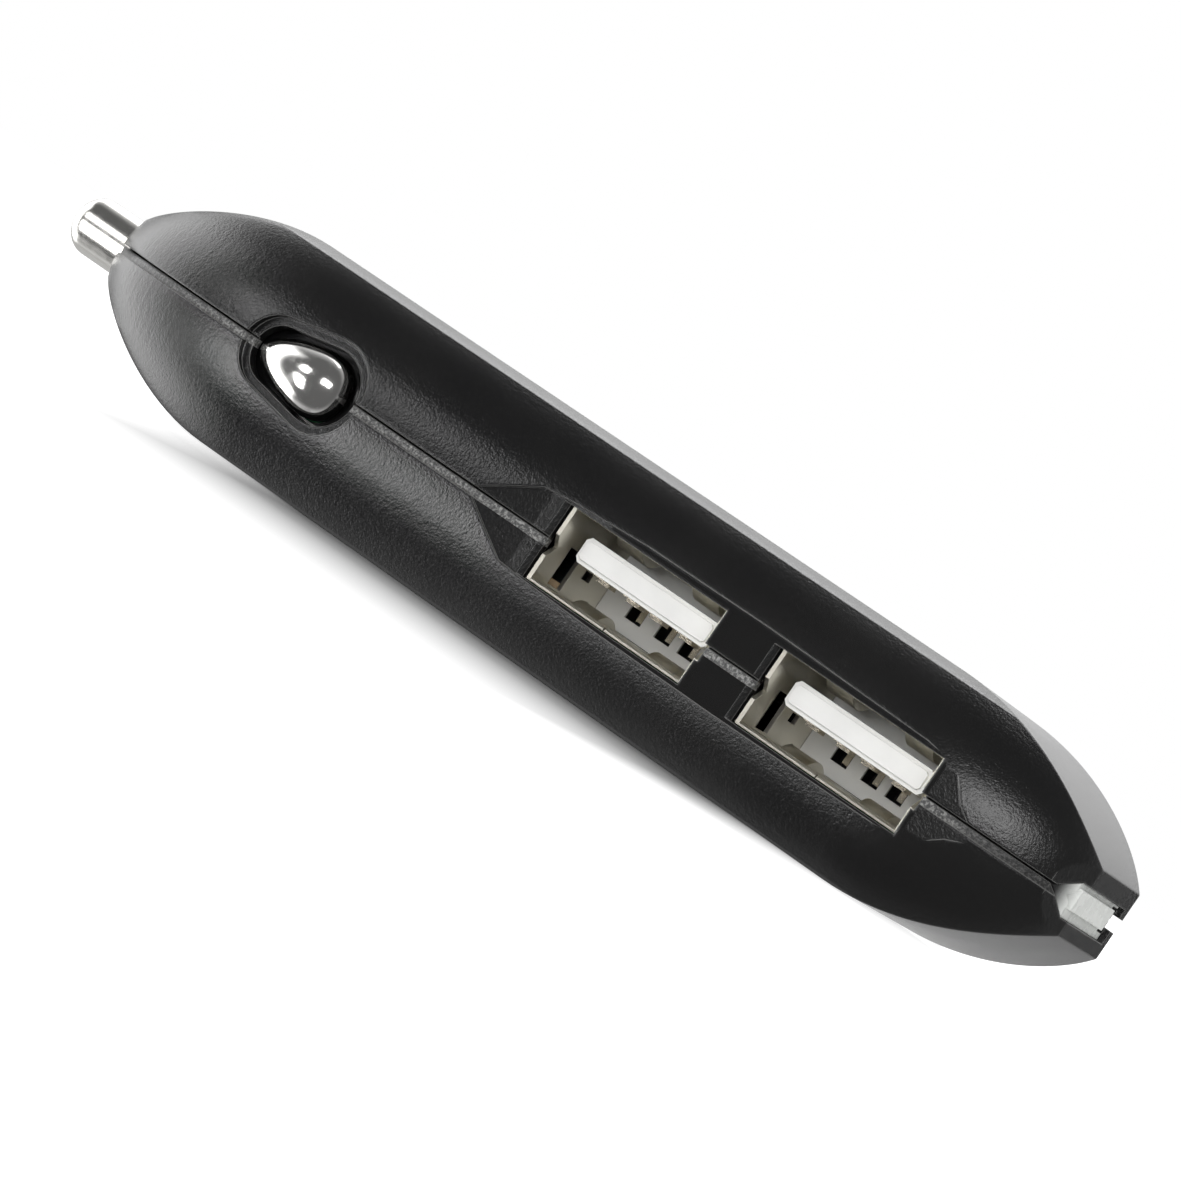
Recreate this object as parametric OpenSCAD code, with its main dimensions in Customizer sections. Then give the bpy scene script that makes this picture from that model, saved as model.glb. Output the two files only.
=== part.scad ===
// Slim twin-port USB charger plug for a car 12 volt socket.
// The body lies on one of its flat broad sides. X runs along the body with the tip at -X and the
// light at +X, the ports face -Y, and Z is up. All sizes are in millimetres.

/* [Body] */
// Length from the end of the tip to the light end
total_len = 89.4; // [80:0.2:100]
// Thickness between the two flat broad sides
body_thick = 15.5; // [14.5:0.1:17]
// Diameter across the two round narrow sides
body_dia = 20.6; // [20:0.1:20.8]
// Wall of the two half shells
wall = 1.5; // [1.2:0.1:2]
// Half width of the short collar round the tip
collar = 2.35; // [2.3:0.05:2.6]
// Flat steps drawn along each taper
steps = 28; // [10:1:40]

/* [Seam] */
// Width of the open line between the half shells
seam_gap = 0.16; // [0.1:0.02:0.3]
// Width of the sunk band beside the line
band_w = 0.52; // [0.3:0.02:0.8]
// Depth of the sunk band
band_d = 0.3; // [0.2:0.05:0.5]

/* [Tip contact] */
// Diameter of the sliding tip
tip_dia = 4.26; // [3.5:0.02:6]
// Inward travel of the tip
tip_travel = 2.5; // [1:0.1:3]
// Radial clearance of the tip in the nose
tip_clear = 0.07; // [0.03:0.01:0.1]

/* [Side contacts] */
// Height of the contact bumps above the round side
bump_rise = 0.8; // [0.5:0.1:1.2]
// Thickness of the contact strip
strip_t = 0.3; // [0.2:0.05:0.5]

/* [USB sockets] */
// Centre of the first socket along the body
port_x = 10.24; // [8:0.02:12]
// Distance between the two sockets
port_pitch = 17.5; // [16:0.1:20]
// Outer width of the metal frame
frame_w = 13.1; // [13:0.05:13.5]
// Outer height of the metal frame
frame_h = 5.72; // [5.6:0.02:5.9]
// Sheet thickness of the metal frame
frame_t = 0.3; // [0.25:0.01:0.4]
// Depth of the metal frame
frame_len = 13.5; // [13:0.1:15]

/* [Light guide] */
// Thickness of the light guide
guide_t = 2.5; // [2:0.02:2.8]
// Width of its raised rib
rib_w = 1.5; // [1:0.02:1.8]
// Height of the rib above the two base bars
rib_h = 0.3; // [0.1:0.05:0.5]

/* [Hidden] */
$fn = 64;
half = total_len / 2;
w0 = body_thick / 2;
r0 = body_dia / 2;
zc = w0;
nose_x = -38.9;
end_x = half;
// each taper: where it starts, its length and its power, first the broad sides, then the round
plan_n = [-23.1, 19.95, 1.5];
plan_e = [30.9, 16.1, 0.88];
rev_n = [-20.5, 19.2, 0.5];
rev_e = [30.6, 15.9, 0.5];
rim_y = -9.25;
floor_y = -9.7;
board_t = 1.2;
board_top = zc - frame_h / 2;
board_bot = board_top - board_t;
tongue_z = zc + 0.7;
win_x = -17.75;
flange_r = 2.7;
guide_low = -0.15 - guide_t / 2;
guide_high = -0.15 + guide_t / 2;

// Half size b falling along the taper t
function taper(x, t, b) = b * pow(max(0, 1 - pow((x - t[0]) / t[1], 2)), t[2]);

// Outline points of a bar from x1 to x2 tapered at both ends, with inset k
function side(x1, x2, tn, te, b, k) = concat(
  [for (i = [0 : steps]) let (x = x1 + (tn[0] - x1) * (1 - cos(90 * i / steps)))
    [x, max(collar, taper(x, tn, b)) - k]],
  [for (i = [0 : steps]) let (x = te[0] + (x2 - te[0]) * sin(90 * i / steps))
    [x, taper(x, te, b) - k]]);

function mirror_back(p) = [for (i = [len(p) - 1 : -1 : 0]) [p[i][0], -p[i][1]]];

// Body seen from the side of the ports: round about X, cut by the two broad sides
module body(k, x1, x2) {
  plan = side(x1, x2, plan_n, plan_e, w0, k);
  prof = side(x1, x2, rev_n, rev_e, r0, k);
  intersection() {
    translate([0, 0, zc]) rotate([0, 90, 0]) rotate([0, 0, 90])
      rotate_extrude($fn = 96)
        polygon(concat([[0, x1]], [for (p = prof) [p[1], p[0]]], [[0, x2]]));
    translate([0, 12, zc]) rotate([90, 0, 0]) linear_extrude(24)
      polygon(concat(plan, mirror_back(plan)));
  }
}

// Egg outline with its small end at the origin and its large end at distance d
function egg(r1, r2, d, n = 14) = let (a = asin((r2 - r1) / d)) concat(
  [for (i = [0 : n]) let (t = 90 + a + (180 - 2 * a) * i / n) [r1 * cos(t), r1 * sin(t)]],
  [for (i = [0 : n]) let (t = -90 - a + (180 + 2 * a) * i / n)
    [d + r2 * cos(t), r2 * sin(t)]]);

// Prism seen along Y from y1 to y2, outline in X and Z about the seam plane
module slab_y(y1, y2, pts, x = 0, dz = 0) {
  translate([x, y2, zc + dz]) rotate([90, 0, 0]) linear_extrude(y2 - y1) polygon(pts);
}

module box(x1, x2, y1, y2, z1, z2) {
  translate([x1, y1, z1]) cube([x2 - x1, y2 - y1, z2 - z1]);
}

module rod_x(x1, x2, r, y = 0, z = zc) {
  translate([x1, y, z]) rotate([0, 90, 0]) cylinder(h = x2 - x1, r = r);
}

ports = [port_x, port_x + port_pitch];

// Sunk field round both ports, pointed at the nose end and tapered at the light end
field = [[-2.4, 0.2], [-0.41, 1.42], [1.52, 2.55], [3.9, 2.8], [9.9, 3.14], [19.8, 3.2],
  [32.75, 2.95], [34.78, 2.66], [35.37, 2.39], [35.89, 1.77], [36.67, 0.81], [37.6, 0.17],
  [38.9, -0.6], [37.9, -1.04], [37.0, -1.43], [36.31, -1.96], [35.8, -2.44], [34.9, -2.85],
  [32.75, -3.1], [19.8, -3.25], [9.9, -3.2], [3.8, -3.05], [1.65, -2.9], [-0.33, -1.74],
  [-2.4, -0.45]];

// Floor of the field seen from above: flat along the ports, rising to both ends
field_floor = [[-3, -12], [40, -12], [40, -8.7], [38.3, -9.0], [34.6, floor_y],
  [2.2, floor_y], [-2.4, -10.1], [-3, -10.15]];

// The shell keeps a thin lip over the rim on the light end side and above
module port_cuts() {
  intersection() {
    slab_y(-12, -8.5, field);
    translate([0, 0, 1]) linear_extrude(14) polygon(field_floor);
  }
  for (x = ports) {
    box(x - 6.72, x + 6.49, -12, -8, zc - 2.93, zc + 2.6);
    box(x - 6.66, x + 6.66, rim_y - 0.03, -6, zc - 2.96, zc + 2.96);
    box(x + 6.1, x + 6.75, -12, rim_y, zc - 1.05, zc + 0.16);
    translate([x, 0, zc - 2.93]) linear_extrude(5.53)
      polygon([[-6.7, -10.2], [-7.1, -10.2], [-7.1, floor_y], [-6.7, floor_y + 0.3]]);
  }
}

module both_sides() {
  children();
  mirror([0, 1, 0]) children();
}

// Egg window of each sliding contact with a stepped border
module window_cuts() {
  both_sides() {
    slab_y(-12, -9.6, egg(2.6, 3.33, 4.16), win_x - 2.39, -0.12);
    slab_y(-12, -7, egg(2.05, 2.73, 4.0), win_x - 2.36, -0.15);
  }
}

// Outside of the two slanted facets that close the light end, moved out by d
module facets(d) {
  for (s = [1, -1]) translate([0, 0, -1]) linear_extrude(20)
    polygon([[end_x - 1.6 + d, s * 6.3], [end_x + d, s * 4.15],
      [end_x + 3, s * 4.15], [end_x + 3, s * 9], [end_x - 1.6 + d, s * 9]]);
}

// Bar across the light end, pointed at its near end, from x1 to x2 and z1 to z2, grown by g
module cross_bar(x1, x2, z1, z2, tip_y, near_y, far_y, g) {
  translate([x1, 0, zc]) rotate([90, 0, 90]) linear_extrude(x2 - x1)
    polygon([[tip_y - g, 0], [near_y - g, z1 - g], [far_y + g, z1 - g],
      [far_y + g, z2 + g], [near_y - g, z2 + g]]);
}

// Lug of the shell that locks the far end of the light guide, grown by g
module lug(g) {
  box(43.4 - g, end_x - 0.45, 2.5 - g, 4, zc - 0.88 - g, zc + 0.88 + g);
}

// The end of the body: slanted facets, slot for the light guide and a notch at the far side
module end_cuts() {
  facets(0);
  difference() {
    union() {
      box(39, 42.5, -4.83, 3.48, zc + guide_low - 0.03, zc + guide_high + 0.03);
      cross_bar(42.4, end_x + 1, guide_low, guide_high, -6.1, -4.6, 3.45, 0.03);
    }
    lug(0);
  }
  box(43.15, end_x + 1, 3.3, 7, zc - 0.48, zc + 0.48);
}

module nose_cuts() {
  rod_x(nose_x - 1, -30, tip_dia / 2 + tip_clear);
  rod_x(-35.82, -20, 2.95);
  box(nose_x - 1, nose_x + 0.8, -6, 6, zc - 0.75, zc + 0.75);
}

// Sunk band below the split of the half shells
module band_cut() {
  difference() {
    box(nose_x - 1, end_x + 1, -12, 12, zc - band_w, zc + 1);
    body(band_d, nose_x + 0.4, end_x + 0.5);
  }
}

// Open line above the split
module line_cut() {
  difference() {
    box(nose_x - 1, end_x + 1, -12, 12, zc - 1, zc + seam_gap);
    body(0.9, nose_x + 0.9, end_x - 1.2);
  }
}

module hollow() {
  difference() {
    body(wall, -35, 41);
    for (x = [-36, 40.4]) box(x - 1, x + 1, -12, 12, -1, 17);
  }
}

posts = [[-29.4, 5.0], [-29.4, -5.0], [37.8, 5.3], [37.8, -5.3]];

module upper_shell() {
  color([0.12, 0.12, 0.12]) difference() {
    union() {
      difference() {
        body(0, nose_x, end_x);
        hollow();
      }
      intersection() {
        union() {
          for (p = posts) translate([p[0], p[1], zc]) cylinder(h = 7, r = 1.9);
          for (x = ports) for (d = [-4, 4]) box(x + d - 0.5, x + d + 0.5, -8, 8,
            zc + frame_h / 2 + 0.02, 15);
          for (x = [-6, 0.5]) box(x - 0.4, x + 0.4, -9.5, 9.5, 13, 15);
        }
        body(0.5, nose_x + 1, end_x - 3);
      }
    }
    box(-60, 60, -15, 15, -5, zc);
    line_cut();
    for (p = posts) translate([p[0], p[1], zc - 1]) cylinder(h = 4.4, r = 1.05);
    port_cuts();
    window_cuts();
    end_cuts();
    nose_cuts();
  }
}

module lower_shell() {
  color([0.12, 0.12, 0.12]) difference() {
    union() {
      difference() {
        intersection() {
          body(0, nose_x, end_x);
          box(-60, 60, -15, 15, -5, zc);
        }
        hollow();
      }
      intersection() {
        union() {
          for (p = posts) {
            translate([p[0], p[1], 1]) cylinder(h = zc - 1, r = 1.9);
            translate([p[0], p[1], 1]) cylinder(h = zc + 3 - 1, r = 0.98);
          }
          for (x = [-24, -5, 19.2]) box(x - 0.6, x + 0.6, -8.6, 8.6, 1, board_bot);
          for (x = [-15, 5, 33]) box(x - 0.4, x + 0.4, -8.6, 8.6, 1, 2.1);
        }
        body(0.5, nose_x + 1, end_x - 3);
      }
    }
    band_cut();
    port_cuts();
    window_cuts();
    end_cuts();
    nose_cuts();
  }
}

// Turned tip with a round nose, a guide flange and a hollow back
module tip_contact() {
  r = tip_dia / 2;
  color([0.82, 0.8, 0.76]) translate([-half, 0, zc]) rotate([0, 90, 0]) difference() {
    rotate_extrude($fn = 72) polygon(concat([[0, 0]],
      [for (i = [1 : 10]) [r * sin(9 * i), 1.7 * (1 - cos(9 * i))]],
      [[r, 8.9], [flange_r, 8.9], [flange_r, 10.1], [0, 10.1]]));
    translate([0, 0, 6]) cylinder(h = 6, r = 1.3);
  }
}

// Compression spring between the tip and its terminal, one closed sweep of round wire
function coil_pt(t, r, x1, x2, turns) = [x1 + (x2 - x1) * t,
  r * cos(360 * turns * t), zc + r * sin(360 * turns * t)];

module tip_spring() {
  x1 = -half + 10.1 + 0.26;
  x2 = -27.36;
  turns = 5;
  n = 80;
  m = 8;
  rw = 0.24;
  rc = 1.75;
  slope = atan2((x2 - x1) / turns, 2 * PI * rc);
  pts = [for (i = [0 : n]) let (a = 360 * turns * i / n, p = coil_pt(i / n, rc, x1, x2, turns))
    for (j = [0 : m - 1]) let (b = 360 * j / m, u = rw * cos(b), v = rw * sin(b))
      [p[0] + v * cos(slope), p[1] + u * cos(a) + v * sin(slope) * sin(a),
        p[2] + u * sin(a) - v * sin(slope) * cos(a)]];
  sides = [for (i = [0 : n - 1]) for (j = [0 : m - 1]) let (k = (j + 1) % m)
    each [[i * m + j, (i + 1) * m + k, (i + 1) * m + j], [i * m + j, i * m + k, (i + 1) * m + k]]];
  caps = [[for (j = [0 : m - 1]) m - 1 - j], [for (j = [0 : m - 1]) n * m + j]];
  color([0.75, 0.75, 0.75]) polyhedron(pts, concat(sides, caps));
}

// Cup behind the spring with a leg down to the board
module tip_terminal() {
  color([0.8, 0.7, 0.45]) difference() {
    union() {
      rod_x(-27.1, -26.6, 2.5);
      rod_x(-27.1 - 1.2, -26.6, 1.2);
      box(-27.0, -26.6, -0.9, 0.9, board_top, zc);
      box(-27.0, -24.6, -0.9, 0.9, board_top, board_top + 0.3);
    }
    rod_x(-29, -26, 0.6);
  }
}

// Teardrop outline of the contact bumps, and where its small end sits
drop_x = win_x - 2.7;
drop_dz = -0.2;
drop_d = 4.0;
drop_small = 1.45;
drop_large = 2.15;
drop_y = -(r0 + bump_rise) + drop_large;

// Half outline of the drop, turned about its long axis for the bump
drop_half = let (a = asin((drop_large - drop_small) / drop_d)) concat(
  [[0, -drop_small]],
  [for (i = [1 : 8]) let (t = 180 - (90 - a) * i / 8)
    [drop_small * sin(t), drop_small * cos(t)]],
  [for (i = [0 : 11]) let (t = 90 + a - (90 + a) * i / 12)
    [drop_large * sin(t), drop_d + drop_large * cos(t)]],
  [[0, drop_d + drop_large]]);

// Sliding contact with a teardrop bump and a flange behind its holder
module ground_contact() {
  color([0.85, 0.84, 0.8]) union() {
    intersection() {
      translate([drop_x, drop_y, zc + drop_dz]) rotate([0, 90, 0])
        rotate_extrude($fn = 72) polygon(drop_half);
      box(-26, -10, -12, drop_y, 0, 16);
    }
    slab_y(drop_y, -7.2, egg(drop_small, drop_large, drop_d), drop_x, drop_dz);
    box(win_x - 4.9, win_x + 4.9, -7.48, -7.1, zc - 2.8, zc + 2.4);
  }
}

module front_ground_contact() { ground_contact(); }
module rear_ground_contact() { mirror([0, 1, 0]) ground_contact(); }

// Plastic guide that stands on the board behind each window
module contact_holder() {
  color([0.1, 0.1, 0.1]) difference() {
    union() {
      box(win_x - 6.1, win_x + 6.1, -8.1, -7.5, board_top + 0.3, zc + 2.8);
      for (d = [-5.6, 5.6]) box(win_x + d - 0.5, win_x + d + 0.5, -8.1, -6.6, board_top, zc);
    }
    slab_y(-9, -7, egg(drop_small + 0.07, drop_large + 0.07, drop_d), drop_x, drop_dz);
  }
}

module front_contact_holder() { contact_holder(); }
module rear_contact_holder() { mirror([0, 1, 0]) contact_holder(); }

// Bent leaf behind each sliding contact, soldered to the board at its foot
module contact_leaf() {
  color([0.8, 0.66, 0.4]) translate([win_x, 0, 0]) {
    translate([0, 0, zc - 1.1]) linear_extrude(2.0)
      polygon([[-2.9, -6.55], [-2.4, -6.95], [-1.6, -7.08], [-0.8, -6.9], [5.2, -4.8],
        [5.4, -4.8], [5.4, -4.55], [5.1, -4.55], [-0.9, -6.64], [-1.6, -6.8], [-2.3, -6.72],
        [-2.75, -6.38]]);
    box(4.6, 5.4, -4.8, -4.55, board_top, zc - 0.4);
    box(4.6, 5.4, -4.8, -3.8, board_top, board_top + 0.25);
  }
}

module front_contact_leaf() { contact_leaf(); }
module rear_contact_leaf() { mirror([0, 1, 0]) contact_leaf(); }

module circuit_board() {
  color([0.08, 0.3, 0.16]) difference() {
    translate([0, 0, board_bot]) linear_extrude(board_t)
      polygon([[-27.2, -5.6], [-24, -6.9], [-20, -7.65], [31.5, -7.65], [34, -7.35],
        [35.6, -6.6], [35.6, -3.1], [37.2, -3.1], [37.2, 3.1], [35.6, 3.1], [35.6, 6.6],
        [34, 7.35], [31.5, 7.65], [-20, 7.65], [-24, 6.9], [-27.2, 5.6]]);
    for (x = ports) for (d = [-6.4, 6.4]) translate([x + d, -2.9, board_bot - 1])
      cylinder(h = 4, r = 0.75);
    for (x = ports) for (d = [-3.5, -1, 1, 3.5]) translate([x + d, 5.4, board_bot - 1])
      cylinder(h = 4, r = 0.42);
  }
}

// Folded metal frame of a USB socket with windows, spring fingers and ground legs
module usb_frame(x) {
  y2 = rim_y + frame_len;
  wi = frame_w / 2 - frame_t;
  hi = frame_h / 2 - frame_t;
  color([0.8, 0.79, 0.74]) translate([x, 0, zc]) {
    difference() {
      union() {
        difference() {
          box(-frame_w / 2, frame_w / 2, rim_y, y2, -frame_h / 2, frame_h / 2);
          box(-wi, wi, rim_y - 1, y2 - frame_t, -hi, hi);
        }
      }
      // lead-in round the mouth
      for (s = [-1, 1]) {
        translate([0, rim_y - 0.01, s * hi]) rotate([45 * s, 0, 0])
          cube([2 * wi, 0.22, 0.22], center = true);
      }
      // side windows and the small notch at the rim
      for (s = [-1, 1]) {
        box(s * 7 - 1, s * 7 + 1, rim_y + 2.4, rim_y + 4.6, -hi + 0.15, 0.35);
        box(s * 7 - 1, s * 7 + 1, rim_y + 6.1, rim_y + 7.4, -1.0, -0.35);
        box(s * 7 - 1, s * 7 + 1, rim_y + 8.7, rim_y + 9.1, -2.45, -2.05);
        translate([s * 7, rim_y, -0.2]) rotate([0, 0, 0]) rotate([45, 0, 0])
          cube([2, 1.1, 1.1], center = true);
      }
      // slots round the spring fingers of both long walls
      for (s = [-1, 1]) for (d = [-3.2, 3.2]) {
        box(d - 1.55, d - 1.25, rim_y + 2.4, rim_y + 7.4, s * 2.7 - 0.5, s * 2.7 + 0.5);
        box(d + 1.25, d + 1.55, rim_y + 2.4, rim_y + 7.4, s * 2.7 - 0.5, s * 2.7 + 0.5);
        box(d - 1.55, d + 1.55, rim_y + 2.4, rim_y + 2.75, s * 2.7 - 0.5, s * 2.7 + 0.5);
      }
      // butt joint of the folded sheet on the lower wall
      box(-0.05, 0.05, rim_y - 1, rim_y + 9, -frame_h / 2 - 0.1, -hi + 0.05);
      // rear tongue opening for the contact legs
      box(-4.6, 4.6, y2 - 4, y2 + 1, -frame_h / 2 - 0.1, -hi + 0.05);
    }
    // bowed pads of the spring fingers
    for (s = [-1, 1]) for (d = [-3.2, 3.2])
      intersection() {
        translate([d - 1.1, rim_y + 4.5, s * (hi + 1.95)]) rotate([0, 90, 0])
          cylinder(h = 2.2, r = 2.5);
        box(d - 1.1, d + 1.1, rim_y + 2.8, rim_y + 6.2, s > 0 ? 1.6 : -hi - 0.1,
          s > 0 ? hi + 0.1 : -1.6);
      }
    // ground legs through the board
    for (s = [-1, 1]) box(s * (frame_w / 2 - frame_t / 2) - frame_t / 2,
      s * (frame_w / 2 - frame_t / 2) + frame_t / 2, -3.4, -2.4,
      -frame_h / 2 - board_t - 0.9, -frame_h / 2 + 0.4);
  }
}

module usb_insulator(x) {
  hi = frame_h / 2 - frame_t;
  wi = frame_w / 2 - frame_t - 0.02;
  yb = rim_y + 10.3;
  tz = tongue_z - zc;
  color([0.93, 0.93, 0.92]) translate([x, 0, zc]) difference() {
    union() {
      box(-wi, wi, yb, rim_y + frame_len - frame_t - 0.02, -hi + 0.02, hi - 0.02);
      // step of the floor behind the tongue
      box(-5.2, 5.2, rim_y + 8, yb + 0.1, tz + 0.6, hi - 0.02);
      // tongue with rounded front edges
      translate([0, yb + 0.1, tz]) rotate([90, 0, 0]) linear_extrude(8.25)
        polygon([[-5.55, -0.62], [-5.25, -0.92], [5.25, -0.92], [5.55, -0.62],
          [5.55, 0.62], [5.25, 0.92], [-5.25, 0.92], [-5.55, 0.62]]);
      translate([0, rim_y + 2.2, tz]) rotate([90, 0, 0]) linear_extrude(0.3)
        polygon([[-5.3, -0.45], [-5.1, -0.65], [5.1, -0.65], [5.3, -0.45],
          [5.3, 0.45], [5.1, 0.65], [-5.1, 0.65], [-5.3, 0.45]]);
    }
    // grooves for the contacts under the tongue and square holes in the floor
    for (d = [-3.5, -1, 1, 3.5]) {
      box(d - 0.55, d + 0.55, rim_y + 2.5, yb + 4, tz - 1.0, tz - 0.62);
      box(d - 0.65, d + 0.65, yb - 1, yb + 1.6, tz - 2.2, tz - 0.8);
      box(d - 0.35, d + 0.35, rim_y + frame_len - 2, rim_y + frame_len, -hi, tz - 0.6);
    }
  }
}

module usb_contacts(x) {
  hi = frame_h / 2 - frame_t;
  yb = rim_y + 10.3;
  tz = tongue_z - zc;
  yr = rim_y + frame_len - 1.0;
  color([0.85, 0.75, 0.45]) translate([x, 0, zc])
    for (d = [-3.5, -1, 1, 3.5]) union() {
      box(d - 0.5, d + 0.5, rim_y + 2.6, yr - 0.2, tz - 0.98, tz - 0.68);
      box(d - 0.5, d + 0.5, rim_y + 3.4, rim_y + 4.6, tz - 1.22, tz - 0.9);
      box(d + 0.05, d + 0.5, yb + 0.3, yb + 1.5, tz - 2.0, tz - 0.9);
    }
}

module usb_frame_a() { usb_frame(ports[0]); }
module usb_frame_b() { usb_frame(ports[1]); }
module usb_insulator_a() { usb_insulator(ports[0]); }
module usb_insulator_b() { usb_insulator(ports[1]); }
module usb_contacts_a() { usb_contacts(ports[0]); }
module usb_contacts_b() { usb_contacts(ports[1]); }

// Milky light guide: flange inside the hollow, two base bars and a raised rib between them
module light_guide() {
  top = end_x - 0.45;
  color([0.93, 0.94, 0.92]) difference() {
    union() {
      box(38.6, 39.37, -3.2, 3.2, zc - 2.2, zc + 2.2);
      box(39.3, 42.5, -4.8, 3.45, zc + guide_low, zc + guide_high);
      difference() {
        cross_bar(42.45, top, guide_low, guide_high, -6.1, -4.6, 3.45, 0);
        facets(-0.02);
      }
      difference() {
        cross_bar(43.3, top + rib_h, -rib_w / 2, rib_w / 2, -5.15, -4.45, 2.35, 0);
        facets(0.12);
      }
    }
    lug(0.04);
  }
}

module led() {
  color([0.95, 0.95, 0.85]) union() {
    box(35.5, 37.0, -1.4, 1.4, board_top, board_top + 1.1);
    translate([37.0, 0, board_top + 0.6]) rotate([0, 90, 0]) cylinder(h = 0.3, r = 0.4);
  }
}

// Drum capacitor standing or lying on the board
module capacitor(x, y, r, h) {
  translate([x, y, board_top]) {
    cylinder(h = 0.4, r = r + 0.15);
    cylinder(h = h, r = r);
  }
}

module input_capacitor() { color([0.75, 0.76, 0.78]) capacitor(-8.4, 4.2, 2.9, 7.2); }
module output_capacitor() { color([0.75, 0.76, 0.78]) capacitor(-0.2, 4.6, 2.5, 6.6); }

module inductor_core() {
  color([0.2, 0.2, 0.22]) translate([-7.6, -3.6, board_top]) {
    cylinder(h = 0.9, r = 3.1);
    cylinder(h = 6.2, r = 1.4);
    translate([0, 0, 5.3]) cylinder(h = 0.9, r = 3.1);
  }
}

module inductor_winding() {
  color([0.72, 0.4, 0.2]) translate([-7.6, -3.6, board_top + 0.95]) rotate_extrude($fn = 64)
    polygon(concat([[1.45, 0], [2.6, 0]],
      [for (i = [0 : 6]) each [[2.6, 0.3 + 0.6 * i - 0.3], [2.8, 0.3 + 0.6 * i]]],
      [[2.6, 4.3], [1.45, 4.3]]));
}

// Small outline chip with gull legs on both long sides
module chip(x, y, l, w, h, n, p) {
  translate([x, y, board_top]) {
    box(-l / 2, l / 2, -w / 2, w / 2, 0.12, h);
    for (i = [0 : n - 1]) for (s = [-1, 1])
      box((i - (n - 1) / 2) * p - 0.2, (i - (n - 1) / 2) * p + 0.2,
        s > 0 ? w / 2 - 0.1 : -w / 2 - 0.8, s > 0 ? w / 2 + 0.8 : -w / 2 + 0.1, 0, 0.22);
  }
}

module converter_chip() { color([0.15, 0.15, 0.16]) chip(-18.2, 0, 5, 4, 1.6, 4, 1.27); }
module port_chip() { color([0.15, 0.15, 0.16]) chip(28.2, 6.0, 3, 1.6, 1.1, 3, 0.95); }

module rectifier_diode() {
  color([0.16, 0.16, 0.17]) translate([-1.1, -3.6, board_top]) {
    box(-2.1, 2.1, -1.3, 1.3, 0.1, 2.0);
    for (s = [-1, 1]) box(s * 2.3 - 0.4, s * 2.3 + 0.4, -0.8, 0.8, 0, 0.3);
  }
}

module input_fuse() {
  color([0.9, 0.88, 0.8]) translate([-23, 0, board_top]) {
    box(-1.0, 1.0, -1.9, 1.9, 0.02, 1.2);
    for (s = [-1, 1]) box(-1.05, 1.05, s * 2.1 - 0.4, s * 2.1 + 0.4, 0, 1.25);
  }
}

module chip_resistors() {
  color([0.2, 0.2, 0.22])
    for (p = [[-14, 5.6], [-14.6, -4.9], [-3.4, 0.2], [1.4, -0.4], [19.2, 5.9], [33.9, 5.3]])
      translate([p[0], p[1], board_top]) box(-0.8, 0.8, -0.45, 0.45, 0, 0.5);
}

module chip_capacitors() {
  color([0.72, 0.6, 0.42])
    for (p = [[-21.6, 5.2], [-14, 3.6], [-3.4, -6.3], [3.0, -3.4], [32.2, 5.65], [22.6, 6.1]])
      translate([p[0], p[1], board_top]) box(-0.55, 0.55, -0.8, 0.8, 0, 0.85);
}

upper_shell();
lower_shell();
tip_contact();
tip_spring();
tip_terminal();
front_ground_contact();
front_contact_holder();
front_contact_leaf();
rear_ground_contact();
rear_contact_holder();
rear_contact_leaf();
circuit_board();
usb_frame_a();
usb_insulator_a();
usb_contacts_a();
usb_frame_b();
usb_insulator_b();
usb_contacts_b();
light_guide();
led();
input_capacitor();
output_capacitor();
inductor_core();
inductor_winding();
converter_chip();
port_chip();
rectifier_diode();
input_fuse();
chip_resistors();
chip_capacitors();
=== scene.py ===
import math

import bpy
import bmesh
from mathutils import Matrix, Vector


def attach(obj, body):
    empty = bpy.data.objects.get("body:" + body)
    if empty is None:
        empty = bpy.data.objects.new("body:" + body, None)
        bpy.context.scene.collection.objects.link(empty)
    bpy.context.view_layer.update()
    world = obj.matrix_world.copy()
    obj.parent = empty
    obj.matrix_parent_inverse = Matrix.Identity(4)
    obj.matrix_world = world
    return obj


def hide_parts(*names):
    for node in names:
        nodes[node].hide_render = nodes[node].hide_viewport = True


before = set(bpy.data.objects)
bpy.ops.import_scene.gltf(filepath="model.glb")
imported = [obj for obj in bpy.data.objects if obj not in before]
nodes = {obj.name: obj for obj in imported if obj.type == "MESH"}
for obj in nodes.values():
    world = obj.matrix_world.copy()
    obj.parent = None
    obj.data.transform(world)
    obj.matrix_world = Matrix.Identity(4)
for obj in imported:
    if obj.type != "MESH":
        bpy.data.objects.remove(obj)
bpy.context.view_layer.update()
scene = bpy.context.scene
scene.view_settings.view_transform = "Standard"

MM = 0.001

# Planes of the part, as in its source
SEAM_Z = 7.75 * MM
RIM_Y = -9.25 * MM                      # mouth of the USB sockets
FIELD_Y = -9.7 * MM                     # floor of the sunk field round the sockets
FIELD_X = (7.0 * MM, 49.0 * MM)


# Camera at the photograph's viewing angle

CAMERA_PLACE = (0.150795, -0.307375, 0.010555)
CAMERA_FORWARD = (-0.4321, 0.9018, -0.0121)
CAMERA_RIGHT = (0.7425, 0.3633, 0.5628)
CAMERA_LENS = 160.07
SENSOR_WIDTH = 36
CLIP_NEAR, CLIP_FAR = 0.02, 20


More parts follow.
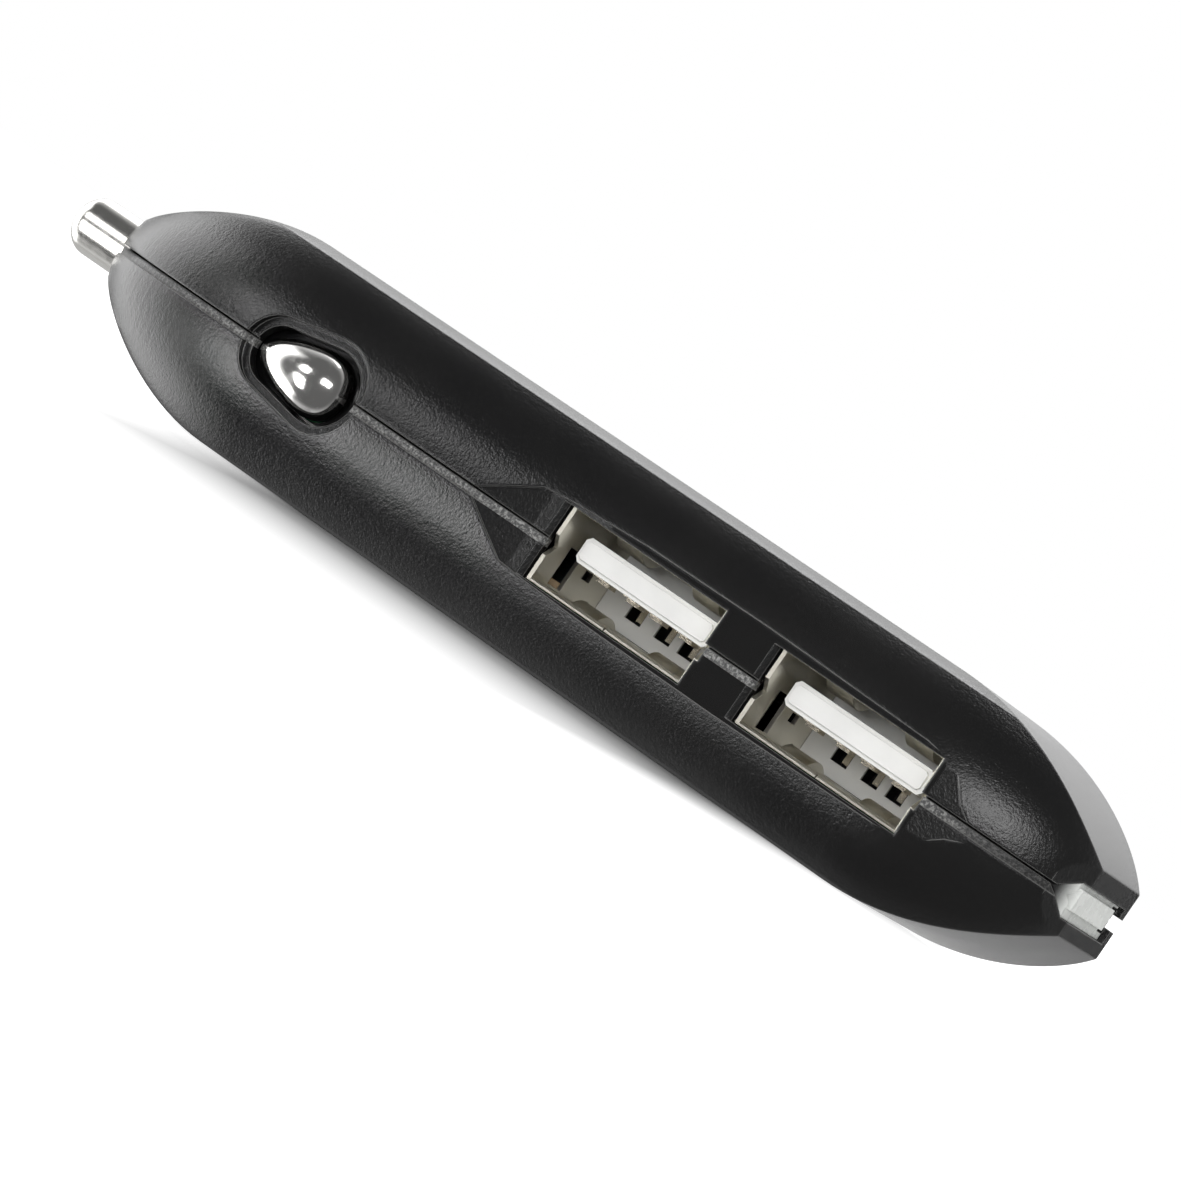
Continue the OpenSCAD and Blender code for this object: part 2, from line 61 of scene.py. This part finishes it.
def make_camera():
    forward = Vector(CAMERA_FORWARD).normalized()
    right = Vector(CAMERA_RIGHT)
    right = (right - right.dot(forward) * forward).normalized()
    up = right.cross(forward).normalized()
    matrix = Matrix((right, up, -forward)).transposed().to_4x4()
    matrix.translation = Vector(CAMERA_PLACE)
    data = bpy.data.cameras.new("camera")
    data.sensor_width = SENSOR_WIDTH
    data.lens = CAMERA_LENS
    data.clip_start, data.clip_end = CLIP_NEAR, CLIP_FAR
    cam = bpy.data.objects.new("camera", data)
    cam.matrix_world = matrix
    scene.collection.objects.link(cam)
    scene.camera = cam


make_camera()


# Node tools

RANGE = ("From Min", "From Max", "To Min", "To Max")

# The Mix node's sockets for each kind of value: first input, second input, output
MIX_SOCKETS = {"FLOAT": (2, 3, 0), "VECTOR": (4, 5, 1), "RGBA": (6, 7, 2)}

# Shader sockets whose names the keyword alone doesn't give
SOCKET_NAMES = {"ior": "IOR", "specular": "Specular IOR Level"}


def opaque(color):
    """A colour of three numbers gets full alpha; a socket stays as it is."""
    return (*color, 1) if isinstance(color, tuple) else color


class Mat:
    """A node material with a Principled shader and short ways to add nodes."""

    def __init__(self, name):
        self.mat = bpy.data.materials.new(name)
        self.mat.use_nodes = True
        self.t = self.mat.node_tree
        self.bsdf = next(n for n in self.t.nodes if n.type == "BSDF_PRINCIPLED")
        self.out = next(n for n in self.t.nodes if n.type == "OUTPUT_MATERIAL")

    def node(self, kind, **values):
        n = self.t.nodes.new(kind)
        for k, v in values.items():
            setattr(n, k, v)
        return n

    def link(self, a, b):
        self.t.links.new(a, b)

    def put(self, socket, value):
        if isinstance(value, bpy.types.NodeSocket):
            self.link(value, socket)
        elif value is not None:
            socket.default_value = value

    def set(self, **values):
        for k, v in values.items():
            socket = SOCKET_NAMES.get(k, k.replace("_", " ").title())
            self.put(self.bsdf.inputs[socket], v)
        return self

    def coord(self):
        return self.node("ShaderNodeTexCoord").outputs["Object"]

    def surface_normal(self):
        return self.node("ShaderNodeNewGeometry").outputs["Normal"]

    def part_of(self, vector, which):
        s = self.node("ShaderNodeSeparateXYZ")
        self.link(vector, s.inputs[0])
        return s.outputs[which]

    def axis(self, which):
        return self.part_of(self.coord(), which)

    def math(self, op, a, b=None):
        n = self.node("ShaderNodeMath", operation=op)
        self.put(n.inputs[0], a)
        self.put(n.inputs[1], b)
        return n.outputs[0]

    def vector_math(self, op, a, b=None):
        n = self.node("ShaderNodeVectorMath", operation=op)
        self.link(a, n.inputs[0])
        if b is not None:
            self.link(b, n.inputs[1])
        return n

    def step(self, value, low, high, a=0.0, b=1.0, kind="SMOOTHSTEP"):
        n = self.node("ShaderNodeMapRange", interpolation_type=kind)
        self.put(n.inputs["Value"], value)
        for k, v in zip(RANGE, (low, high, a, b)):
            n.inputs[k].default_value = v
        return n.outputs[0]

    def within(self, value, low, high, soft=0.02 * MM):
        a = self.step(value, low - soft, low + soft)
        b = self.step(value, high - soft, high + soft, 1.0, 0.0)
        return self.math("MULTIPLY", a, b)

    def noise(self, scale, detail=3.0, rough=0.5, stretch=None):
        n = self.node("ShaderNodeTexNoise")
        n.inputs["Scale"].default_value = scale
        n.inputs["Detail"].default_value = detail
        n.inputs["Roughness"].default_value = rough
        source = self.coord()
        if stretch:
            m = self.node("ShaderNodeMapping")
            m.inputs["Scale"].default_value = stretch
            self.link(source, m.inputs["Vector"])
            source = m.outputs[0]
        self.link(source, n.inputs["Vector"])
        return n.outputs[0]

    def blend(self, kind, factor, a, b):
        n = self.node("ShaderNodeMix", data_type=kind)
        first, second, result = MIX_SOCKETS[kind]
        self.put(n.inputs["Factor"], factor)
        self.put(n.inputs[first], a)
        self.put(n.inputs[second], b)
        return n.outputs[result]

    def mix(self, factor, a, b):
        return self.blend("RGBA", factor, opaque(a), opaque(b))

    def vector_mix(self, factor, a, b):
        return self.blend("VECTOR", factor, a, b)

    def lerp(self, factor, a, b):
        return self.blend("FLOAT", factor, a, b)

    def bump(self, height, strength, distance, normal):
        n = self.node("ShaderNodeBump")
        self.put(n.inputs["Strength"], strength)
        n.inputs["Distance"].default_value = distance
        self.link(height, n.inputs["Height"])
        self.link(normal, n.inputs["Normal"])
        return n.outputs[0]

    def bevel(self, radius, samples=6):
        n = self.node("ShaderNodeBevel", samples=samples)
        n.inputs["Radius"].default_value = radius
        return n.outputs[0]


def dress(name, m):
    o = nodes[name]
    o.data.materials.clear()
    o.data.materials.append(m.mat)


# Black moulded plastic: satin shell, smooth sunk field, grainy band beside the seam with a
# painted sheen, and a painted highlight along edges

SHELL_DARK, SHELL_LIGHT = (0.0065, 0.0065, 0.0068), (0.009, 0.0089, 0.0088)
SHELL_ROUGH = (0.19, 0.24)
SHELL_BUMP, SHELL_BUMP_DEPTH = 0.5, 0.08 * MM
GRAIN_SCALE, PIT_SCALE, CLOUD_SCALE = 8000, 3900, 70
FIELD_ROUGH, FIELD_BUMP = 0.13, 0.03
BAND_Z = (SEAM_Z - 0.53 * MM, SEAM_Z - 0.005 * MM)
BAND_OUTSIDE_Y = 3.0 * MM
# the band's real grain carries light specks, a painted sheen
BAND_DARK, BAND_SHEEN = (0.05, 0.05, 0.05), (0.30, 0.30, 0.29)
BAND_ROUGH, BAND_BUMP, BAND_SPECK_SCALE = 0.4, 0.9, 5200
# bevel radii: edges, nose, and the edges that get a painted highlight
EDGE_BEVEL, NOSE_BEVEL, EDGE_HIGHLIGHT_BEVEL = 0.25 * MM, 1.1 * MM, 0.1 * MM
# colour of the painted highlight along edges
EDGE_HIGHLIGHT_COLOR = (0.17, 0.17, 0.165)
CREASE_UPPER, CREASE_LOWER = 7.12, 7.55     # mm from the seam


def field_mask(m, x, y):
    """1 on the level floor of the sunk field round the sockets."""
    depth = m.math("ABSOLUTE", m.math("ADD", y, -FIELD_Y))
    facing = m.math("ABSOLUTE", m.part_of(m.surface_normal(), 1))
    level = m.math("MULTIPLY", m.step(depth, 0.04 * MM, 0.1 * MM, 1.0, 0.0),
                   m.step(facing, 0.995, 0.9995))
    return m.math("MULTIPLY", level, m.within(x, *FIELD_X))


def band_mask(m, y, z):
    """1 on the sunk band beside the seam, on the outside of the shell."""
    outer = m.math("GREATER_THAN", m.math("ABSOLUTE", y), BAND_OUTSIDE_Y)
    return m.math("MULTIPLY", m.within(z, *BAND_Z), outer)


def shell_normal(m, x, high, lower):
    """Shading normals: soft edges, a rounder nose, and a light line along the crease."""
    nose = m.step(x, -36.5 * MM, -34.5 * MM, 1.0, 0.0)
    brow = m.math("MULTIPLY", m.step(x, -24.0 * MM, -20.0 * MM, 1.0, 0.0),
                  m.step(high, 4.3 * MM, 4.9 * MM))
    soft = m.math("MAXIMUM", nose, brow)
    edge = m.vector_mix(soft, m.bevel(EDGE_BEVEL, 6), m.bevel(NOSE_BEVEL, 8))
    # the crease shades as the broad side does, and so catches its light
    start = CREASE_LOWER if lower else CREASE_UPPER
    tilt = m.math("MULTIPLY", m.step(high, start * MM, (start + 0.05) * MM),
                  m.step(high, 7.0 * MM, 7.9 * MM, 0.42, 0.85))
    edge = m.vector_mix(tilt, edge, (0.0, 0.0, -1.0 if lower else 1.0))
    return m.vector_math("NORMALIZE", edge).outputs[0]


def shell_plastic(name, lower):
    m = Mat(name)
    x, y, z = m.axis(0), m.axis(1), m.axis(2)
    high = m.math("ABSOLUTE", m.math("SUBTRACT", z, SEAM_Z))
    field = field_mask(m, x, y)
    cloud = m.noise(CLOUD_SCALE, 3.0, 0.5)
    rough = m.lerp(field, m.step(cloud, 0.3, 0.7, *SHELL_ROUGH), FIELD_ROUGH)
    base = m.mix(m.step(cloud, 0.3, 0.7), SHELL_DARK, SHELL_LIGHT)
    height = m.math("ADD", m.math("MULTIPLY", m.noise(GRAIN_SCALE, 2.0, 0.6), 0.5),
                    m.math("MULTIPLY", m.noise(PIT_SCALE, 2.0, 0.55), 0.5))
    strength = m.lerp(field, SHELL_BUMP, FIELD_BUMP)
    if lower:
        band = band_mask(m, y, z)
        # painted shade: the band, with its painted sheen, is darker near the nose and near the
        # light end
        sheen_fade = m.math("MULTIPLY", m.step(x, -31 * MM, -23 * MM, 0.35, 1.0),
                       m.step(x, 34 * MM, 40 * MM, 1.0, 0.25))
        # painted sheen: light specks on the band's grain
        sheen_speck = m.step(m.noise(BAND_SPECK_SCALE, 2.0, 0.7), 0.42, 0.68)
        base = m.mix(m.math("MULTIPLY", band, sheen_fade), base,
                     m.mix(sheen_speck, BAND_DARK, BAND_SHEEN))
        rough = m.lerp(band, rough, BAND_ROUGH)
        strength = m.lerp(band, strength, BAND_BUMP)
    # painted highlight: a light line on the edges of the field, the windows and the lips
    turn = m.vector_math("DOT_PRODUCT", m.surface_normal(), m.bevel(EDGE_HIGHLIGHT_BEVEL, 6))
    edge_highlight = m.step(turn.outputs["Value"], 0.90, 0.985, 1.0, 0.0)
    base = m.mix(edge_highlight, base, EDGE_HIGHLIGHT_COLOR)
    normal = m.bump(height, strength, SHELL_BUMP_DEPTH, shell_normal(m, x, high, lower))
    m.set(base_color=base, roughness=rough, normal=normal, ior=1.5, specular=0.5)
    return m


# Plain plastics and metals

FINE_BUMP_DEPTH = 0.01 * MM


def plastic(name, color, rough, grain=4000, bump=0.15, bevel=0.06 * MM):
    m = Mat(name)
    n = m.noise(grain, 3.0, 0.55)
    c = m.noise(260, 3.0, 0.5)
    dark = tuple(v * 0.93 for v in color)
    m.set(base_color=m.mix(m.step(c, 0.3, 0.7), dark, color),
          roughness=m.step(c, 0.25, 0.75, rough - 0.04, rough + 0.04),
          normal=m.bump(n, bump, FINE_BUMP_DEPTH, m.bevel(bevel, 4)))
    return m


def metal(name, color, rough, scratch=0.08, stretch=(1, 1, 1), bevel=0.05 * MM, samples=4):
    m = Mat(name)
    n = m.noise(1400, 4.0, 0.6, stretch)
    c = m.noise(180, 3.0, 0.5)
    dark = tuple(v * 0.94 for v in color)
    m.set(base_color=m.mix(m.step(c, 0.3, 0.7), dark, color), metallic=1.0,
          roughness=m.step(n, 0.3, 0.7, max(rough - 0.03, 0.02), rough + 0.04),
          normal=m.bump(n, scratch, FINE_BUMP_DEPTH, m.bevel(bevel, samples)))
    return m


# black painted where shade falls in recesses
PAINTED_SHADE_BLACK = (0.012, 0.012, 0.012)


def milky():
    """Milky plastic, with painted shade: black at the pointed end where it goes down between the
    shells.
    """
    m = Mat("milky")
    n = m.noise(900, 3.0, 0.5)
    clear = m.mix(m.step(n, 0.3, 0.7), (0.85, 0.87, 0.84), (0.90, 0.92, 0.89))
    # painted shade: the guide turns black where it goes down between the shells
    painted_depth_shade = m.step(m.axis(1), -5.9 * MM, -4.2 * MM)
    m.set(base_color=m.mix(painted_depth_shade, PAINTED_SHADE_BLACK, clear),
          roughness=m.step(n, 0.25, 0.75, 0.22, 0.32),
          normal=m.bump(n, 0.1, FINE_BUMP_DEPTH, m.bevel(0.12 * MM, 4)))
    return m


def socket_white():
    """White plastic, with painted shade: black deeper than the floor of the socket, in its
    openings.
    """
    m = plastic("socket_white", (0.90, 0.90, 0.885), 0.36)
    face = m.bsdf.inputs["Base Color"].links[0].from_socket
    # painted shade: the openings in the floor of the socket are coloured black
    painted_depth_shade = m.step(m.axis(1), RIM_Y + 10.4 * MM, RIM_Y + 10.6 * MM)
    m.set(base_color=m.mix(painted_depth_shade, face, PAINTED_SHADE_BLACK))
    return m


def dress_all():
    dress("upper_shell", shell_plastic("upper_plastic", False))
    dress("lower_shell", shell_plastic("lower_plastic", True))
    nickel = metal("nickel", (0.90, 0.89, 0.87), 0.06, 0.02, bevel=0.9 * MM, samples=16)
    tip = metal("tip_nickel", (0.76, 0.75, 0.72), 0.17, 0.02, bevel=0.6 * MM, samples=8)
    bronze = metal("bronze", (0.78, 0.6, 0.36), 0.25)
    holder = plastic("holder_black", (0.006, 0.006, 0.0065), 0.2)
    tin = metal("tin_plate", (0.78, 0.75, 0.66), 0.34, 0.12)
    gold = metal("gold_plate", (0.93, 0.85, 0.70), 0.22)
    can = metal("can", (0.72, 0.73, 0.75), 0.3, 0.1, (1, 1, 12))
    chip = plastic("chip_black", (0.012, 0.012, 0.014), 0.5)
    shared = (
        (nickel, ("front_ground_contact", "rear_ground_contact")),
        (tip, ("tip_contact",)),
        (bronze, ("tip_terminal", "front_contact_leaf", "rear_contact_leaf")),
        (holder, ("front_contact_holder", "rear_contact_holder")),
        (tin, ("usb_frame_a", "usb_frame_b")),
        (gold, ("usb_contacts_a", "usb_contacts_b")),
        (socket_white(), ("usb_insulator_a", "usb_insulator_b")),
        (can, ("input_capacitor", "output_capacitor")),
        (chip, ("converter_chip", "port_chip", "rectifier_diode", "chip_resistors")),
        (metal("spring_wire", (0.7, 0.7, 0.7), 0.2), ("tip_spring",)),
        (plastic("board_green", (0.012, 0.09, 0.035), 0.3), ("circuit_board",)),
        (milky(), ("light_guide",)),
        (plastic("led_body", (0.9, 0.86, 0.6), 0.25), ("led",)),
        (plastic("ferrite", (0.03, 0.03, 0.033), 0.55), ("inductor_core",)),
        (metal("copper", (0.75, 0.33, 0.16), 0.3), ("inductor_winding",)),
        (plastic("fuse_body", (0.78, 0.75, 0.66), 0.45), ("input_fuse",)),
        (plastic("cap_body", (0.5, 0.36, 0.22), 0.5), ("chip_capacitors",)),
    )
    for material, names in shared:
        for name in names:
            dress(name, material)


dress_all()


# Side contacts: a smooth drop with its skirt and the flange that holds it in

WINDOW_X = -17.75 * MM
DROP_X = (-21.95 * MM, -14.10 * MM)
DROP_Z = 7.55 * MM
DROP_TOP = 11.1 * MM
DROP_RADIUS = 2.36 * MM
DROP_POWER, DROP_LEAN = 2.4, 0.34           # fullness of the ends, and how far it swells to +X
DROP_PEAK = 1.075                           # highest value of the profile before it is scaled
DROP_RINGS, DROP_TURNS = 48, 40
SKIRT_Y = 7.2 * MM
FLANGE_HALF = 4.9 * MM
FLANGE_Y = (7.1 * MM, 7.48 * MM)
FLANGE_Z = (SEAM_Z - 2.8 * MM, SEAM_Z + 2.4 * MM)
BOX_FACES = ((0, 1, 3, 2), (4, 6, 7, 5), (0, 4, 5, 1), (2, 3, 7, 6), (0, 2, 6, 4), (1, 5, 7, 3))


def drop_radius(u):
    """Radius at u, which runs from -1 at the small end to 1 at the large end."""
    fullness = math.sqrt(max(0.0, 1 - abs(u) ** DROP_POWER))
    return DROP_RADIUS * fullness * (1 + DROP_LEAN * u) / DROP_PEAK


def add_box(bm, low, high):
    v = [bm.verts.new((x, y, z)) for x in (low[0], high[0]) for y in (low[1], high[1])
         for z in (low[2], high[2])]
    for f in BOX_FACES:
        bm.faces.new([v[i] for i in f])


def drop_row(x, r):
    """Outline square to X: up one side of the skirt, over the drop and down again."""
    y = DROP_TOP - DROP_RADIUS
    angles = [math.pi * j / DROP_TURNS for j in range(DROP_TURNS + 1)]
    arc = [(x, y + r * math.sin(a), DROP_Z - r * math.cos(a)) for a in angles]
    return [(x, SKIRT_Y, DROP_Z - r), *arc, (x, SKIRT_Y, DROP_Z + r)]


def add_drop(bm, side):
    mid = (DROP_X[0] + DROP_X[1]) / 2
    half = (DROP_X[1] - DROP_X[0]) / 2
    rows = []
    for i in range(1, DROP_RINGS):
        u = -math.cos(math.pi * i / DROP_RINGS)
        row = drop_row(mid + half * u, drop_radius(u))
        rows.append([bm.verts.new((x, side * y, z)) for x, y, z in row])
    ends = [bm.verts.new((x, side * (DROP_TOP - DROP_RADIUS), DROP_Z)) for x in DROP_X]
    n = len(rows[0])
    for a, b in zip(rows, rows[1:]):
        for j in range(n):
            k = (j + 1) % n
            bm.faces.new((a[j], a[k], b[k], b[j]))
    for j in range(n):
        k = (j + 1) % n
        bm.faces.new((ends[0], rows[0][k], rows[0][j]))
        bm.faces.new((ends[1], rows[-1][j], rows[-1][k]))


def contact_drop(name, node, body, side, material):
    bm = bmesh.new()
    add_drop(bm, side)
    add_box(bm, (WINDOW_X - FLANGE_HALF, side * FLANGE_Y[0], FLANGE_Z[0]),
            (WINDOW_X + FLANGE_HALF, side * FLANGE_Y[1], FLANGE_Z[1]))
    bmesh.ops.recalc_face_normals(bm, faces=bm.faces)
    me = bpy.data.meshes.new(name)
    bm.to_mesh(me)
    bm.free()
    for f in me.polygons:
        f.use_smooth = abs(f.normal.y) < 0.999
    o = bpy.data.objects.new(name, me)
    scene.collection.objects.link(o)
    me.materials.append(material.mat)
    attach(o, body)
    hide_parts(node)


drop_nickel = metal("drop_nickel", (0.92, 0.91, 0.89), 0.13, 0.02)
contact_drop("front_contact_drop", "front_ground_contact", "front_contact", -1, drop_nickel)
contact_drop("rear_contact_drop", "rear_ground_contact", "rear_contact", 1, drop_nickel)


# Floor: near the object the camera sees a painted shadow, darker than the floor's own colour and
# with the real cast shadow on it; farther off it is white for the camera

FLOOR_HALF = 3.0
FLOOR_Z = -0.04 * MM
# the second colour is what the camera sees: darker than the floor, a painted shadow round the
# object
FLOOR_WHITE, FLOOR_PAINTED_SHADE = (0.9, 0.9, 0.9), (0.42, 0.42, 0.42)
SHADOW_FADE = (0.011, 0.083, 0.0, 0.95)            # metres to the side, and the white there
FADE_BEHIND = 3.5                           # how much faster it fades behind the object
NOSE_FADE, NOSE_SKEW = (-0.030, -0.016), 0.42
LIGHT_END_FADE = (0.020, 0.037)


def make_floor():
    s = FLOOR_HALF
    me = bpy.data.meshes.new("floor")
    me.from_pydata([(x, y, FLOOR_Z) for x, y in ((-s, -s), (s, -s), (s, s), (-s, s))],
                   [], [(0, 1, 2, 3)])
    o = bpy.data.objects.new("floor", me)
    scene.collection.objects.link(o)
    m = Mat("floor_white_with_painted_shadow")
    x, y = m.axis(0), m.axis(1)
    camera_ray = m.node("ShaderNodeLightPath").outputs["Is Camera Ray"]
    m.set(base_color=m.mix(camera_ray, FLOOR_WHITE, FLOOR_PAINTED_SHADE), roughness=0.95, specular=0.0)
    # the painted shadow fades to white with the distance in front and behind, and past the ends
    # that stand clear
    skew = m.math("ADD", x, m.math("MULTIPLY", m.math("MINIMUM", y, 0.0), NOSE_SKEW))
    ends = m.math("MAXIMUM", m.step(skew, *NOSE_FADE, 1.0, 0.0), m.step(x, *LIGHT_END_FADE))
    aside = m.math("MAXIMUM", m.math("MULTIPLY", y, -1.0), m.math("MULTIPLY", y, FADE_BEHIND))
    white = m.math("MAXIMUM", m.step(aside, *SHADOW_FADE, kind="LINEAR"), ends)
    glow = m.node("ShaderNodeEmission")
    m.link(m.math("MULTIPLY", camera_ray, white), glow.inputs["Strength"])
    add = m.node("ShaderNodeAddShader")
    m.link(m.bsdf.outputs[0], add.inputs[0])
    m.link(glow.outputs[0], add.inputs[1])
    m.link(add.outputs[0], m.out.inputs[0])
    me.materials.append(m.mat)
    o.visible_glossy = False


make_floor()


# Surroundings: a room that only reflections see, with windows and dark sides

DEGREES = 57.2958                           # in one radian

# Each row, in degrees: azimuth, half width, lowest and highest elevation, softness of the
# sides and of the top and bottom; the last number is the light, or the share taken away
WINDOWS = (
    (182, 22, -50, 34, 8, 8, 3.4),
    (-128, 8, -34, -8, 3, 4, 8.5),
    (-129, 7, 8, 22, 3, 4, 6.5),
    (118, 36, 30, 89, 12, 12, 3.4),
)
# past the light end, and low behind
DARK_SIDES = (
    (58, 24, -40, 24, 8, 8, 0.88),
    (120, 40, -88, -10, 8, 6, 0.4),
)
ROOM = (-0.25, 0.45, 0.12, 0.95)            # from the camera's side to the far side
SOFT_LIGHT = (-0.5, 0.1, 0.5, 0.30)


class WorldTree:
    """The world's node tree with short ways to add patches of light by direction."""

    def __init__(self):
        w = bpy.data.worlds.new("studio")
        scene.world = w
        w.use_nodes = True
        w.cycles.sampling_method = "NONE"
        self.t = w.node_tree
        self.t.nodes.clear()
        coord = self.t.nodes.new("ShaderNodeTexCoord")
        sep = self.t.nodes.new("ShaderNodeSeparateXYZ")
        self.t.links.new(coord.outputs["Generated"], sep.inputs[0])
        self.x, self.y, self.z = sep.outputs

    def math(self, op, a, b=None):
        n = self.t.nodes.new("ShaderNodeMath")
        n.operation = op
        for s, v in zip(n.inputs, (a, b)):
            if isinstance(v, bpy.types.NodeSocket):
                self.t.links.new(v, s)
            elif v is not None:
                s.default_value = v
        return n.outputs[0]

    def step(self, sock, low, high, a=0.0, b=1.0):
        n = self.t.nodes.new("ShaderNodeMapRange")
        n.interpolation_type = "SMOOTHSTEP"
        self.t.links.new(sock, n.inputs["Value"])
        for k, v in zip(RANGE, (low, high, a, b)):
            n.inputs[k].default_value = v
        return n.outputs[0]

    def patch(self, az, half, low, high, soft_az, soft_el, value):
        """A soft window of light round azimuth az between two elevations, in degrees."""
        ca, sa = math.cos(math.radians(az)), math.sin(math.radians(az))
        along = self.math("ADD", self.math("MULTIPLY", self.x, ca),
                          self.math("MULTIPLY", self.y, sa))
        across = self.math("SUBTRACT", self.math("MULTIPLY", self.y, ca),
                           self.math("MULTIPLY", self.x, sa))
        turn = self.math("ABSOLUTE", self.math("ARCTAN2", across, along))
        turn = self.math("MULTIPLY", turn, DEGREES)
        el = self.math("MULTIPLY", self.math("ARCSINE", self.z), DEGREES)
        a = self.step(turn, half - soft_az, half + soft_az, 1.0, 0.0)
        b = self.step(el, low - soft_el, low + soft_el)
        c = self.step(el, high - soft_el, high + soft_el, 1.0, 0.0)
        m = self.math("MULTIPLY", self.math("MULTIPLY", a, b), c)
        return self.math("MULTIPLY", m, value)

    def background(self, strength):
        b = self.t.nodes.new("ShaderNodeBackground")
        b.inputs["Color"].default_value = (1, 1, 1, 1)
        if isinstance(strength, bpy.types.NodeSocket):
            self.t.links.new(strength, b.inputs["Strength"])
        else:
            b.inputs["Strength"].default_value = strength
        return b.outputs[0]

    def mix(self, factor, a, b):
        n = self.t.nodes.new("ShaderNodeMixShader")
        for s, v in zip(n.inputs, (factor, a, b)):
            self.t.links.new(v, s)
        return n.outputs[0]


def make_world():
    w = WorldTree()
    room = w.step(w.y, *ROOM)
    for v in WINDOWS:
        room = w.math("ADD", room, w.patch(*v))
    for v in DARK_SIDES:
        room = w.math("MULTIPLY", room, w.math("SUBTRACT", 1.0, w.patch(*v)))
    path = w.t.nodes.new("ShaderNodeLightPath")
    glossy = w.math("MAXIMUM", path.outputs["Is Glossy Ray"], path.outputs["Is Transmission Ray"])
    soft = w.step(w.y, *SOFT_LIGHT)
    shade = w.mix(glossy, w.background(soft), w.background(room))
    shown = w.mix(path.outputs["Is Camera Ray"], shade, w.background(1.0))
    out = w.t.nodes.new("ShaderNodeOutputWorld")
    w.t.links.new(shown, out.inputs[0])


make_world()


# Lamps

BODY_MIDDLE = (0.02, 0, 0.008)


def softbox(name, place, aim, size, size_y, radiance, glossy=True):
    data = bpy.data.lights.new(name, "AREA")
    data.shape = "RECTANGLE"
    data.size, data.size_y = size, size_y
    data.energy = radiance * math.pi * size * size_y
    o = bpy.data.objects.new(name, data)
    o.location = place
    o.rotation_euler = (Vector(aim) - Vector(place)).to_track_quat("-Z", "Y").to_euler()
    o.visible_glossy = glossy
    scene.collection.objects.link(o)


softbox("front_box", (0.19, -0.43, 0.155), BODY_MIDDLE, 0.30, 0.15, 6.5)
softbox("fill_box", (0.04, -0.55, 0.03), BODY_MIDDLE, 0.30, 0.12, 6.5, glossy=False)
softbox("back_box", (-0.05, 0.6, 0.36), (0, 0, 0), 0.9, 0.4, 4.5, glossy=False)
